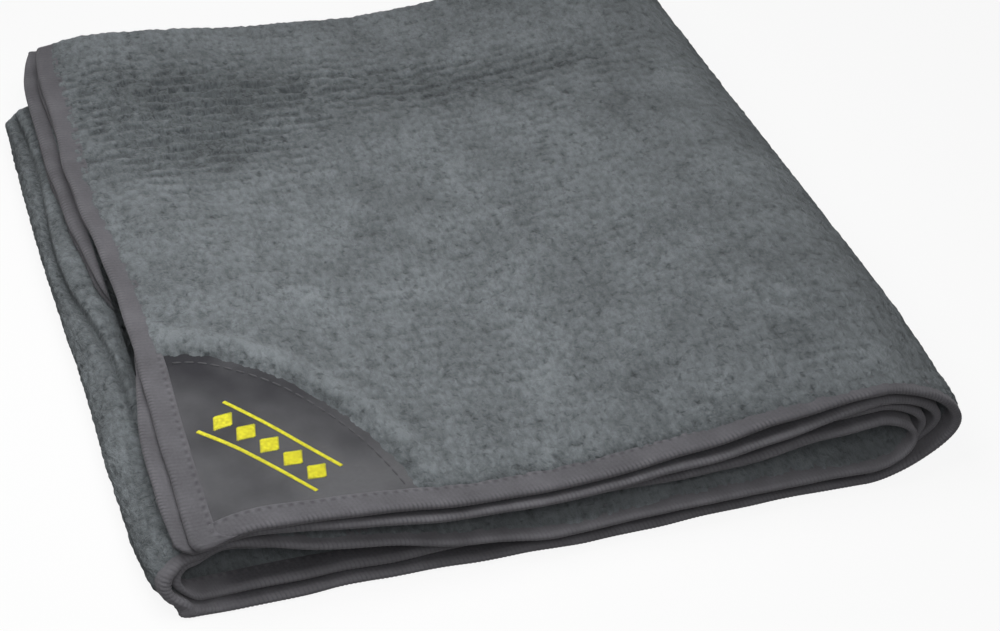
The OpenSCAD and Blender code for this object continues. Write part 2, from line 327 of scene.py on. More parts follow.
def tufts(s, t, cell, seed):
    """Round tufts of pile set in uneven rows, 1 at a tuft's top and 0 in the parting between tufts."""
    size = 512
    places = np.random.default_rng(seed).random((size, size, 2))
    s, t = s / cell, t / cell
    i, j = np.floor(s).astype(int), np.floor(t).astype(int)
    nearest = np.full(s.shape, 9.0)
    for di in (-1, 0, 1):
        for dj in (-1, 0, 1):
            place = places[(i + di) % size, (j + dj) % size]
            reach = (i + di + place[..., 0] - s) ** 2 + (j + dj + place[..., 1] - t) ** 2
            nearest = np.minimum(nearest, reach)
    return np.clip(1 - np.sqrt(nearest), 0, 1)


def pile_height(s, t, parted):
    """Height of the looped pile, about 0 to 1, with its knitted rows along the sheet's length. Where
    the pile is parted, the rows sink into dashes. The height also sets the terry's colour, so low pile
    and the dashes are painted darker as painted shade."""
    near = tufts(s, 0.62 * t, 1.7, 11)
    clumps = lattice(s, 0.62 * t, 2.4, 12)
    drift = lattice(s, t, 9.0, 13)
    pits = smooth((lattice(s, 0.7 * t, 1.3, 19) - 0.72) / 0.2)
    wander = 1.6 * lattice(s, t, 14.0, 14) + 1.5 * lattice(s, t, 3.4, 18)
    rows = 0.5 + 0.5 * np.cos(2 * np.pi * (t + wander) / ROW_PITCH)
    combed = smooth((lattice(s, t, 38.0, 15) - 0.45) / 0.4) * smooth((lattice(s, t, 4.2, 16) - 0.2) / 0.5)
    dashes = smooth((lattice(s, 1.1 * t, 2.2, 17) - 0.36) / 0.26)
    return (0.52 * near + 0.27 * clumps + 0.10 * drift + 0.20 * combed * (rows - 0.5)
            - 0.20 * pits + parted * (1.5 * dashes * (rows - 0.9) - 0.50))


def close_tube(name, grid_u, grid_v, points, layers):
    """A grid wrapped into a closed tube: rows meet, both ends are filled. Points are in mm."""
    bm = bmesh.new()
    bmesh.ops.create_grid(bm, x_segments=grid_u, y_segments=grid_v, size=1.0)
    bm.verts.ensure_lookup_table()
    place = np.array([v.co for v in bm.verts])
    i = np.rint((place[:, 0] + 1) / 2 * grid_u).astype(int)
    j = np.rint((place[:, 1] + 1) / 2 * grid_v).astype(int)
    mesh = bpy.data.meshes.new(name)
    bm.to_mesh(mesh)
    bm.free()
    mesh.vertices.foreach_set("co", (points[i, j] * MM).astype(np.float32).ravel())
    for key, values in layers.items():
        kind, field = ("FLOAT_VECTOR", "vector") if values.ndim == 3 else ("FLOAT", "value")
        layer = mesh.attributes.new(key, kind, "POINT")
        layer.data.foreach_set(field, values[i, j].astype(np.float32).ravel())
    bm = bmesh.new()
    bm.from_mesh(mesh)
    bm.verts.ensure_lookup_table()
    seam = [bm.verts[k] for k in np.flatnonzero((j == 0) | (j == grid_v))]
    bmesh.ops.remove_doubles(bm, verts=seam, dist=1e-6)
    rims = [e for e in bm.edges if e.is_boundary]
    caps = set(bmesh.ops.holes_fill(bm, edges=rims, sides=0)["faces"])
    bmesh.ops.recalc_face_normals(bm, faces=bm.faces)
    for face in bm.faces:
        face.smooth = face not in caps
    for edge in rims:
        edge.smooth = False
    bm.to_mesh(mesh)
    bm.free()
    piece = add_object(name, mesh)
    return piece


def spaced(a, b, step):
    return np.linspace(a, b, max(2, int(round(abs(b - a) / step)) + 1))


def hairpin(fine_step, far_step):
    """Rows round a two-ply section: along the outer ply, round the back, along the other ply's outside,
    and then the same way back on the inside. Each row has a ply (1 outer, 0 inner ply), a face
    (1 outside, -1 inside), a depth, and a turn round the back fold."""
    start = FRONT + 1.0
    shoulder = FRONT + BAND - SHOULDER / 2
    under_band = spaced(start, shoulder, 2.0)
    rows = []
    for y in np.concatenate([under_band[:-1], spaced(shoulder, BACK_CENTRE, fine_step)]):
        rows.append((1, 1, y, 0.0))
    for turn in np.linspace(0, np.pi, 14)[1:-1]:
        rows.append((0.5, 1, BACK_CENTRE, turn))
    for y in np.concatenate([spaced(BACK_CENTRE, shoulder, far_step), under_band[-2::-1]]):
        rows.append((0, 1, y, np.pi))
    for y in spaced(start, BACK_CENTRE, UNSEEN):
        rows.append((0, -1, y, np.pi))
    for turn in np.linspace(np.pi, 0, 5)[1:-1]:
        rows.append((0.5, -1, BACK_CENTRE, turn))
    for y in spaced(BACK_CENTRE, start, UNSEEN):
        rows.append((1, -1, y, 0.0))
    rows.append(rows[0])
    return np.array(rows)


def back_corner(x, y):
    """How the back edge gives way at the left, where a panel is drawn in or stands proud there."""
    return smooth((X_LEFT + 34 - x) / 44) * smooth((y - FRONT - 90) / 110)


def terry_strip(name, outer_line, inner_line, along, fine_step, far_step, back_lie, reach_end=None,
                shape=None, band_seen=lambda x: BAND, parting=None):
    """A two-ply length of terry. outer_line and inner_line give each ply's middle as x, z, its outward
    direction in x and z, how its front edge lies, and its length along the sheet, for the strip's places
    and depths. reach_end tells how far a place lies beyond an end band, shape moulds the outer face and
    its tone, band_seen tells how much of the front band the pile leaves open, and parting how far the
    pile is parted."""
    rows = hairpin(fine_step, far_step)
    ply, face, y, turn = (np.tile(rows[:, k], (len(along), 1)) for k in range(4))
    place = np.tile(np.array(along)[:, None], (1, len(rows)))
    ox, oz, onx, onz, opush, olift, s = outer_line(place, y)
    ix, iz, inx, inz, ipush, ilift, _ = inner_line(place, y)
    weight = (1 + np.cos(turn)) / 2
    nx, nz = onx * weight + inx * (1 - weight), onz * weight + inz * (1 - weight)
    size = np.hypot(nx, nz)
    nx, nz = nx / size, nz / size
    mx, mz = (ox + ix) / 2, (oz + iz) / 2
    half_gap = np.hypot(ox - ix, oz - iz) / 2
    push = opush * weight + ipush * (1 - weight)
    lift = olift * weight + ilift * (1 - weight)
    bent = (turn > 1e-6) & (turn < np.pi - 1e-6)
    t = np.where(weight > 0.5, y - FRONT, 2 * FOLDED_DEPTH - (y - FRONT))
    t = np.where(bent, FOLDED_DEPTH + (turn / np.pi - 0.5) * 2 * BACK_BEND, t)
    parted = np.zeros_like(s) if parting is None else parting(ox, y) * (ply > 0.5)
    pile = pile_height(s, t, parted)
    # the pile ends in a round, uneven shoulder against the thread bands
    uneven = pile - 0.5
    beyond = y - FRONT - np.where(ply > 0.5, band_seen(ox), BAND) + SHOULDER / 2
    edge = np.clip((beyond + uneven) / SHOULDER, 0, 1)
    if reach_end is not None:
        beyond = reach_end(ox * weight + ix * (1 - weight), y, ply)
        edge = np.minimum(edge, np.clip((beyond + uneven) / SHOULDER, 0, 1))
    body = GROUND + (HALF - GROUND) * np.sqrt(1 - (1 - edge) ** 2)
    rough = np.where(face > 0, PILE, PILE_INSIDE) * edge
    skin = body + rough * (pile - PILE_MEAN) * 2
    if shape is not None:
        outside = (ply > 0.9) & (face > 0)
        shaped, shaded = shape(skin, pile, ox, y, s)
        skin, pile = np.where(outside, shaped, skin), np.where(outside, shaded, pile)
    # flat stretches stand off their own ply, and the back rows run round the middle of the two
    off = face * skin + np.where(bent, half_gap, 0)
    middle_x = np.where(bent, mx, np.where(weight > 0.5, ox, ix))
    middle_z = np.where(bent, mz, np.where(weight > 0.5, oz, iz))
    way = np.where(bent, np.cos(turn), np.where(weight > 0.5, 1.0, -1.0))
    x = middle_x + nx * off * way
    z = middle_z + nz * off * way
    y = y + np.where(bent, off * np.sin(turn), 0.0)
    fade = 1 - smooth((y - FRONT) / EDGE_FADE)
    y = y + push * fade
    y = y + back_corner(x, y) * back_lie
    points = np.stack(settle(x, y, z + lift * fade), axis=-1)
    sheet = np.stack([s, t, face], axis=-1)
    # The outside's colour follows the pile and is painted darker within the shoulder by the bands, as painted
    # shade in the groove there. The inside gets one flat tone.
    tone = np.clip(np.where(face > 0, pile - 0.3 * (1 - edge), 0.3), 0, 1.2)
    return close_tube(name, len(along) - 1, len(rows) - 1, points, {"sheet": sheet, "pile": tone})


def panel_line(ply, upward, s_at=lambda x: x, ends=False):
    """A flat ply as a line for terry_strip. Places run from 0 at the left to 1 at the right, and s_at
    gives the sheet's length there."""
    def line(place, y):
        left = end_place(ply, y) + 0.8 if ends else np.full_like(y, X_LEFT)
        x = left + (X_RIGHT - left) * place
        z = ply_height(ply, x)
        slope = ply_height(ply, x + 0.5) - ply_height(ply, x - 0.5)
        size = np.hypot(1, slope) * upward
        push, lift = edge_lie(ply, x)
        return x, z, -slope / size, 1 / size, push, lift, s_at(x)
    return line


def add_noise(tree, place, scale, detail, **values):
    values = {"Vector": place, "Scale": scale, "Detail": detail, **values}
    return add_node(tree, "ShaderNodeTexNoise", values).outputs["Fac"]


def add_ramp(tree, share, start, dark, end, light):
    ramp = add_node(tree, "ShaderNodeValToRGB", {"Fac": share})
    for element, place, colour in zip(ramp.color_ramp.elements, (start, end), (dark, light)):
        element.position = place
        element.color = (*colour, 1)
    return ramp.outputs["Color"]


def multiplied(tree, value, factor):
    return add_node(tree, "ShaderNodeVectorMath", {0: value, 1: factor}, operation="MULTIPLY").outputs[0]


def finish_material(tree, colour, height, strength, distance, finish):
    bump = add_node(tree, "ShaderNodeBump", {"Height": height, "Strength": strength, "Distance": distance})
    surface = {"Base Color": colour, "Normal": bump.outputs[0], **finish}
    shader = add_node(tree, "ShaderNodeBsdfPrincipled", surface)
    add_node(tree, "ShaderNodeOutputMaterial", {"Surface": shader.outputs[0]})


terry, tree = new_material("terry")
# The colour follows the pile's height and the loops' bump: low pile, partings and the gaps between loops are
# painted darker as painted shade. The clouds are the cloth's own uneven tone.
where = add_node(tree, "ShaderNodeAttribute", attribute_name="sheet").outputs["Vector"]
depth = add_node(tree, "ShaderNodeAttribute", attribute_name="pile").outputs["Fac"]
standing = multiplied(tree, where, (1.0, 0.52, 1.0))
curls = add_noise(tree, standing, 0.95, 2.0, Roughness=0.6, Distortion=0.25)
fibres = add_noise(tree, standing, 1.9, 4.0, Roughness=0.7, Distortion=1.0)
partings = add_noise(tree, where, 0.62, 1.0, Distortion=0.5)
clouds = add_noise(tree, where, 0.05, 3.0)
curled = add_range(tree, curls, 0.28, 0.72, 0.14, 0.43)
parted = add_range(tree, partings, 0.58, 0.74, 0.0, 0.27)
loops = add_math(tree, "SUBTRACT", curled, parted)
grain = add_range(tree, fibres, 0.32, 0.68, -0.11, 0.11)
share = add_math(tree, "MULTIPLY_ADD", depth, 0.95, loops)
share = add_math(tree, "ADD", share, grain, clamp=True)
colour = add_ramp(tree, share, 0.10, (0.047, 0.054, 0.058), 1.0, (0.213, 0.235, 0.249))
colour = multiplied(tree, colour, add_range(tree, clouds, 0.3, 0.7, 0.78, 1.18))
height = add_math(tree, "ADD", grain, loops)
finish_material(tree, colour, height, 1.0, 0.0008, {
    "Roughness": 0.95, "Specular IOR Level": 0.15, "Sheen Weight": 0.2, "Sheen Roughness": 0.6,
    "Sheen Tint": (0.85, 0.9, 0.92, 1)})

# Lengths of the sheet's parts, and its length from the tucked end to where each part starts
PANEL_LENGTH = 168.0
INNER_BEND = 44.0
LEFT_BEND = 26.0
OUTER_BEND = 62.0
S_INNER_FOLD = PANEL_LENGTH
S_MIDDLE = S_INNER_FOLD + INNER_BEND
S_LEFT_FOLD = S_MIDDLE + PANEL_LENGTH
S_BOTTOM = S_LEFT_FOLD + LEFT_BEND
S_OUTER_FOLD = S_BOTTOM + PANEL_LENGTH
S_TOP = S_OUTER_FOLD + OUTER_BEND


def finish_terry(piece, body, node):
    piece.data.materials.append(terry)
    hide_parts(node)
    if body:
        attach(piece, body)


LOWER_BACK = -13.5
bottom = terry_strip(
    "bottom_terry",
    panel_line(0, -1, lambda x: S_BOTTOM + x - X_LEFT),
    panel_line(1, -1, lambda x: S_BOTTOM + x - X_LEFT),
    spaced(0, 1, 1.3 / PANEL_LENGTH), 1.4, COARSE, LOWER_BACK)
finish_terry(bottom, "lower", "bottom_panel")

# The left fold is the round bend of terry where the strip turns over from the bottom panel to the
# middle one. Its outer face is the towel's left side, pressed into two soft lobes.
FINE = 0.66
LEFT_BAND_SEEN = 3.0


def bend_line(x, low, high, reach, side, s0, s1, first):
    """A ply's way round a fold from one ply to another, as a line for terry_strip, with places from 0
    to 1."""
    z0, z1 = float(ply_height(low, x)), float(ply_height(high, x))
    push0, lift0 = edge_lie(low, np.array(x))
    push1, lift1 = edge_lie(high, np.array(x))

    def line(place, y):
        angle = (place - 0.5) * np.pi * first
        cx, cz = np.cos(angle), np.sin(angle)
        half_z = (z1 - z0) / 2
        nx, nz = side * cx / reach, cz / half_z
        size = np.hypot(nx, nz)
        share = (1 + cz) / 2
        return (x + side * reach * cx, (z0 + z1) / 2 + half_z * cz, nx / size, nz / size,
                push0 + (push1 - push0) * share, lift0 + (lift1 - lift0) * share, s0 + (s1 - s0) * place)
    return line


def left_bend(ring, first):
    reach = LEFT_REACH - HALF - ring * PITCH
    return bend_line(X_LEFT, ring, 3 - ring, reach, -1, S_LEFT_FOLD, S_BOTTOM, first)


def two_lobes(skin, pile, x, y, s):
    """The bend is creased along its upper side into a low lobe and a high one. Its colour is painted darker
    towards the back and in the crease, as painted shade.
    """
    deep = y - FRONT
    crease = eased(deep, [(0, 0.0), (45, 1.0), (57, 1.8), (70, 2.6), (84, 3.6), (94, 5.2), (104, 6.8),
                          (125, 7.5), (147, 6.2), (163, 5.6), (181, 6.4), (200, 8.5)])
    away = s - S_LEFT_FOLD - crease
    depth = smooth((deep - 30) / 30) * (0.75 + 0.25 * np.cos(deep / 17))
    groove = np.exp(-(away / 0.8) ** 2) * depth
    lobes = 0.9 * np.exp(-((away + 3.2) / 2.2) ** 2) + 0.5 * np.exp(-((away - 2.8) / 2.0) ** 2)
    # painted shade: the fold's colour is darker towards the back and in the crease
    painted_fold_shade = 0.05 + 0.10 * smooth((deep - 30) / 70)
    return np.maximum(skin + lobes * depth - 2.4 * groove, -0.6), pile - painted_fold_shade - 1.1 * groove


left_fold = terry_strip("left_fold_terry", left_bend(0, -1), left_bend(1, -1),
                        spaced(0, 1, 0.4 / LEFT_BEND), FINE, COARSE, LOWER_BACK, shape=two_lobes,
                        band_seen=lambda x: LEFT_BAND_SEEN)
finish_terry(left_fold, "lower", "left_fold")

# The middle panel is the terry that lies on the bottom panel, over the hollow of the left fold.
# Nothing but the folds at its two ends holds it. Its pile is painted paler towards the right fold,
# as painted light in the hollow there.
MEDIUM = 0.9
INSIDE_BAND_SEEN = 3.4


def painted_hollow_light(skin, pile, x, y, s):
    """The pile is painted paler towards the right fold, as painted light in the hollow there."""
    return skin, pile + 0.2 * smooth((x - X_LEFT - 50) / 60)


middle = terry_strip(
    "middle_terry",
    panel_line(3, 1, lambda x: S_MIDDLE + X_RIGHT - x),
    panel_line(2, 1, lambda x: S_MIDDLE + X_RIGHT - x),
    spaced(0, 1, MEDIUM / PANEL_LENGTH), MEDIUM, COARSE, LOWER_BACK,
    shape=painted_hollow_light, band_seen=lambda x: INSIDE_BAND_SEEN)
finish_terry(middle, "lower", "middle_panel")

# The right fold's inner bend is the terry round the open hollow. It joins the middle panel to the
# tucked one, and unrolls as the towel is opened.
FOLD_COARSE = 1.8


def right_bend(ring, s0, s1, first, outward):
    reach = RIGHT_REACH - HALF - ring * FOLD_PITCH
    line = bend_line(X_RIGHT, ring, 7 - ring, reach, 1, s0, s1, first)

    def turned(place, y):
        x, z, nx, nz, push, lift, s = line(place, y)
        return x, z, nx * outward, nz * outward, push, lift, s
    return turned


inner_fold = terry_strip(
    "right_fold_inner_terry",
    right_bend(3, S_INNER_FOLD, S_MIDDLE, -1, -1),
    right_bend(2, S_INNER_FOLD, S_MIDDLE, -1, -1),
    spaced(0, 1, MEDIUM / 40), MEDIUM, FOLD_COARSE, 0,
    shape=painted_hollow_light, band_seen=lambda x: INSIDE_BAND_SEEN)
finish_terry(inner_fold, None, "right_fold_inner")
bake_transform(inner_fold)

# The tucked panel is the terry at the sheet's first end, which lies inside the right fold.
# Its free end isn't held, and lies askew under the top panel's.


def beyond_band(x, y, ply, plies):
    """How far a place lies beyond the band at a panel's free end."""
    end = np.where(ply > 0.5, end_place(plies[0], y), end_place(plies[1], y))
    return x - (end + BAND - 2.2 - 0.8 * np.exp(-((y - FRONT - 145) / 30) ** 2))


TUCKED_BACK = 7.5
tucked = terry_strip(
    "tucked_terry",
    panel_line(4, -1, lambda x: x - X_LEFT, True),
    panel_line(5, -1, lambda x: x - X_LEFT, True),
    spaced(0, 1, MEDIUM / PANEL_LENGTH), MEDIUM, COARSE, TUCKED_BACK,
    lambda x, y, ply: beyond_band(x, y, ply, (4, 5)), shape=painted_hollow_light)
finish_terry(tucked, "upper", "tucked_panel")

# The right fold's outer bend is the terry at the towel's right side. It joins the bottom panel to
# the top one, and unrolls with the inner bend.


def narrowing(x):
    """The pile covers more of the front band towards the right fold."""
    return BAND - 3.6 * smooth((x - X_LEFT - 110) / 55)


outer_fold = terry_strip(
    "right_fold_outer_terry",
    right_bend(0, S_OUTER_FOLD, S_TOP, 1, 1),
    right_bend(1, S_OUTER_FOLD, S_TOP, 1, 1),
    spaced(0, 1, FINE / OUTER_BEND), FINE, FOLD_COARSE, 0, band_seen=narrowing)
finish_terry(outer_fold, None, "right_fold_outer")
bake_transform(outer_fold)

# The top panel is the terry that shows as the folded towel's face, with a free end at the left. Its pile
# is cut away under the corner patch, and stands up in a soft roll along the patch's curved side.
PATCH_WIDTH = 47.0
PATCH_DEPTH = 54.0
PATCH_RADIUS = 73.0
chord = math.hypot(PATCH_WIDTH, PATCH_DEPTH)
rise = math.sqrt(PATCH_RADIUS ** 2 - chord ** 2 / 4)
PATCH_X = X_LEFT + BAND
PATCH_Y = FRONT + BAND
PATCH_CENTRE = (PATCH_X + PATCH_WIDTH / 2 - rise * PATCH_DEPTH / chord,
                PATCH_Y + PATCH_DEPTH / 2 - rise * PATCH_WIDTH / chord)


def outside_patch(x, y):
    return np.hypot(x - PATCH_CENTRE[0], y - PATCH_CENTRE[1]) - PATCH_RADIUS


def cut_pile(skin, pile, x, y, s):
    """The pile cut away at the patch and rolled up beside it. The roll is painted lighter as a painted
    highlight, the pile on either side of it darker as painted shade, and the pile along the front band darker
    as painted shade.
    """
    gap = outside_patch(x, y) + 1.5 * (pile - 0.5)
    shoulder = np.sqrt(1 - (1 - np.clip(gap / 2.6, 0, 1)) ** 2)
    clear = smooth((y - PATCH_Y) / 4) * smooth((x - PATCH_X) / 4)
    roll = np.exp(-((gap - 6.5) / 2.6) ** 2) * clear
    painted_patch_shade = (np.exp(-((gap - 1.5) / 2.0) ** 2) + 0.5 * np.exp(-((gap - 12.0) / 3.0) ** 2)) * clear
    low = HALF - 1.0
    painted_band_shade = np.exp(-((y - FRONT - narrowing(x)) / 4.0) ** 2) * smooth((X_RIGHT - x) / 30)
    # painted highlight on the roll, painted shade beside it and along the front band
    tone = pile + 0.20 * roll - 0.34 * painted_patch_shade - 0.26 * painted_band_shade
    return low + (skin + 0.9 * roll - low) * shoulder, tone


def creased(x, y):
    """Where the pile lies parted from an old crease: a long spot near the back, its trail to the right
    and a fainter spot before it. There the pile sinks, and its colour is painted darker with it as painted
    shade."""
    across, deep = x - X_LEFT, y - FRONT
    spot = np.exp(-((across - 38) / 34) ** 2 - ((deep - 168 + 0.12 * across) / 17) ** 2)
    trail = 0.5 * np.exp(-((across - 105) / 45) ** 2 - ((deep - 172 + 0.12 * across) / 9) ** 2)
    faint = 0.7 * np.exp(-((across - 34) / 23) ** 2 - ((deep - 141) / 12) ** 2)
    return np.clip(spot + trail + faint, 0, 1)


top = terry_strip(
    "top_terry",
    panel_line(7, 1, lambda x: S_TOP + X_RIGHT - x, True),
    panel_line(6, 1, lambda x: S_TOP + X_RIGHT - x, True),
    spaced(0, 1, FINE / PANEL_LENGTH), FINE, COARSE, 0,
    lambda x, y, ply: beyond_band(x, y, ply, (7, 6)),
    shape=cut_pile, band_seen=narrowing, parting=creased)
finish_terry(top, "upper", "top_panel")

# The edging is an overlock stitch in purplish grey thread, which wraps every cut edge of the sheet in a
# band of close slanting turns, with a beaded edge and a line of needle stitches on its inner side.
STITCH = 1.05
RIB = 0.15
BAND_HALF = 0.90
NOSE = 1.0


def band_profile():
    """Points round the band's section: distance in from the edge, and height off the cloth's middle."""
    upper = [(BAND + 0.3, 0.35), (BAND, 0.72), (BAND - 0.35, 0.93)]
    upper += [(d, BAND_HALF) for d in np.linspace(BAND - 0.9, NOSE + 0.4, 7)]
    nose = [(NOSE - NOSE * math.sin(a), BAND_HALF * math.cos(a)) for a in np.linspace(0, math.pi, 8)]
    lower = [(d, -h) for d, h in reversed(upper)]
    return np.array(upper + nose + lower + upper[:1])


def thread_height(u, d, over):
    """Height of the thread's turns at a place along the band and a distance in from the edge."""
    turn = np.abs(np.sin(np.pi * (u + 0.28 * d * over) / STITCH)) ** 0.8
    bead = np.exp(-((d - 0.5) / 0.75) ** 2)
    needle = np.exp(-((d - BAND + 0.9) / 0.4) ** 2)
    stitches = 0.5 + 0.5 * np.cos(2 * np.pi * u / (2.3 * STITCH))
    uneven = lattice(u, 3 * over + 9, 3.1, 32)
    return 0.5 + (turn - 0.55) * (0.10 + 0.85 * bead * uneven) + needle * (0.7 * stitches - 0.45)


def waver(along, row, cell, seed):
    """A slow random wander along a band, from -0.5 to 0.5."""
    return lattice(along, np.full_like(along, row), cell, seed) - 0.5


def edging_tube(name, u, place, tips=False, painted_light=0.0, shaded_side=0.0):
    """The band as a closed tube along u. place gives points for u, distance in, and height. With tips,
    both ends are rounded off and the band lies a little over the others. The lift given after tips
    paints the thread lighter, as painted light on bands that lie low or inside. The side given last
    (1 or -1) is where another ply lies on the band, and there the thread is painted darker deep under
    it, as painted shade."""
    profile = band_profile()
    d = np.tile(profile[:, 0], (len(u), 1))
    h = np.tile(profile[:, 1], (len(u), 1))
    along = np.tile(np.array(u)[:, None], (1, len(profile)))
    rib = thread_height(along, d, np.sign(h))
    rib = np.where(d > BAND, 0, rib)
    wander = lattice(along, d * 0.2 + 7, 5.0, 31) - 0.5
    grow = 1 + RIB * (rib - 0.5) / BAND_HALF + 0.12 * wander
    d_out = np.where(d < NOSE, NOSE - (NOSE - d) * (1 + 0.22 * (rib - 0.5)), d + 0.25 * wander)
    loose = np.clip(1 - d / BAND, 0, 1)
    d_out = d_out + 0.8 * loose * waver(along, 11.0, 11.0, 33)
    nod = 0.5 * loose * waver(along, 5.0, 15.0, 34)
    if tips:
        from_tip = np.clip(np.minimum(along, u[-1] - along) / 1.4, 0, 1)
        grow = grow * 1.06 * np.sqrt(1 - 0.96 * (1 - from_tip) ** 2)
    points = place(along, d_out, h * grow + nod)
    painted_light, shaded_side = (np.broadcast_to(value, len(u))[:, None] for value in (painted_light, shaded_side))
    # painted light lifts the thread's colour, and painted shade darkens it deep under the ply on the covered
    # side
    shade = painted_light - 0.8 * smooth((d - 1.2) / 1.2) * np.clip(np.sign(h) * shaded_side, 0, 1)
    sheet = np.stack([along, d + np.where(h > 0, 0, 20), np.zeros_like(d)], axis=-1)
    piece = close_tube(name, len(u) - 1, len(profile) - 1, points,
                       {"sheet": sheet, "thread": np.clip(rib + shade, 0, 1.6)})
    piece.data.materials.append(edging_thread)
    return piece


edging_thread, tree = new_material("edging_thread")
where = add_node(tree, "ShaderNodeAttribute", attribute_name="sheet").outputs["Vector"]
ridge = add_node(tree, "ShaderNodeAttribute", attribute_name="thread").outputs["Fac"]
fuzz = add_noise(tree, where, 1.4, 4.0, Roughness=0.7)
clouds = add_noise(tree, where, 0.11, 2.0)
# The colour follows the thread attribute: the grooves between turns and the covered faces are painted darker
# as painted shade, and lifted bands lighter as painted light. Fuzz and clouds are the thread's own uneven
# tone.
share = add_math(tree, "MULTIPLY_ADD", fuzz, 0.6, -0.20)
share = add_math(tree, "MULTIPLY_ADD", ridge, 0.85, share, clamp=True)
colour = add_ramp(tree, share, 0.0, (0.062, 0.060, 0.068), 1.0, (0.185, 0.181, 0.196))
colour = multiplied(tree, colour, add_range(tree, clouds, 0.3, 0.7, 0.76, 1.06))
finish_material(tree, colour, fuzz, 0.5, 0.0003, {
    "Roughness": 0.85, "Specular IOR Level": 0.2, "Sheen Weight": 0.2, "Sheen Roughness": 0.5,
    "Sheen Tint": (0.9, 0.88, 0.92, 1)})


def front_band(lines):
    """Places for an edging along the front. lines has each length's end, its line and the line's first
    and last place."""
    starts = np.array([0.0] + [entry[0] for entry in lines])

    def place(u, d, h):
        x, y, z = (np.zeros_like(u) for _ in range(3))
        for k, (until, line, first, last) in enumerate(lines):
            here = (u >= starts[k] - 1e-9) & (u <= until + 1e-9)
            share = np.clip((u - starts[k]) / (until - starts[k]), 0, 1)
            px, pz, nx, nz, push, lift, _ = line(first + (last - first) * share, FRONT + d)
            fade = 1 - smooth(d / EDGE_FADE)
            x = np.where(here, px + nx * h, x)
            z = np.where(here, pz + nz * h + lift * fade, z)
            y = np.where(here, FRONT + d + push * fade, y)
        return np.stack(settle(x, y, z), axis=-1)
    return place


def flat_place(x):
    return (x - X_LEFT) / (X_RIGHT - X_LEFT)


THREAD_STEP = 0.21
# How much lighter the thread is painted on bands that lie low or inside, as painted light
PAINTED_LIFT = 0.42


def lower_edging(name, node, ring):
    """A long edge's band on the lower half: bottom panel, left fold and middle panel."""
    fold_length = LEFT_BEND if ring == 0 else 17.0
    ends = [PANEL_LENGTH, PANEL_LENGTH + fold_length, 2 * PANEL_LENGTH + fold_length]
    lines = [(ends[0], panel_line(ring, -1), 1.0, 0.0),
             (ends[1], left_bend(ring, -1), 1.0, 0.0),
             (ends[2], panel_line(3 - ring, 1), 0.0, 1.0)]
    u = spaced(0, ends[2], THREAD_STEP)
    # painted shade on the side of the band that the next ply covers
    shaded_side = ring * smooth((u - ends[1] - 4) / 8) - smooth((ends[0] - 4 - u) / 8)
    piece = edging_tube(name, u, front_band(lines), painted_light=PAINTED_LIFT, shaded_side=shaded_side)
    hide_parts(node)
    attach(piece, "lower")


lower_edging("outer_edging_lower_thread", "outer_edging_lower", 0)
lower_edging("inner_edging_lower_thread", "inner_edging_lower", 1)


def fold_edging(name, node, ring):
    """A long edge's band round the right fold, on one of its four rings."""
    length = math.pi * 0.75 * (RIGHT_REACH - ring * FOLD_PITCH)
    line = right_bend(ring, 0.0, 1.0, 1, 1)
    u = spaced(0, length, THREAD_STEP)
    # painted light on the band, fading along the outer ring
    painted_light = PAINTED_LIFT * (1 - u / length) if ring == 0 else PAINTED_LIFT
    piece = edging_tube(name, u, front_band([(length, line, 0.0, 1.0)]), painted_light=painted_light, shaded_side=min(ring, 1))
    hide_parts(node)
    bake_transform(piece)


fold_edging("outer_edging_fold_thread", "outer_edging_fold", 0)
fold_edging("inner_edging_fold_thread", "inner_edging_fold", 1)
fold_edging("inner_edging_hollow_thread", "inner_edging_fold", 2)
fold_edging("outer_edging_hollow_thread", "outer_edging_fold", 3)


def free_edging(name, node, ply, upward):
    """A long edge's band along the front of the tucked or the top panel."""
    start = float(end_place(ply, np.array(FRONT))) + 1.0
    length = X_RIGHT - start
    lines = [(length, panel_line(ply, upward), flat_place(start), 1.0)]
    u = spaced(0, length, THREAD_STEP)
    # the inner plies' bands get painted light, less towards the left, and painted shade on their covered
    # upper side
    inside = 0.0 if ply == 7 else 1.0
    painted_light = inside * (PAINTED_LIFT - 0.14 * (1 - smooth((u - length + 70) / 60)))
    piece = edging_tube(name, u, front_band(lines), painted_light=painted_light, shaded_side=inside)
    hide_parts(node)
    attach(piece, "upper")


free_edging("outer_edging_tucked_thread", "outer_edging_tucked", 4, 1)
free_edging("inner_edging_tucked_thread", "inner_edging_tucked", 5, 1)
free_edging("outer_edging_top_thread", "outer_edging_top", 7, 1)
free_edging("inner_edging_top_thread", "inner_edging_top", 6, 1)


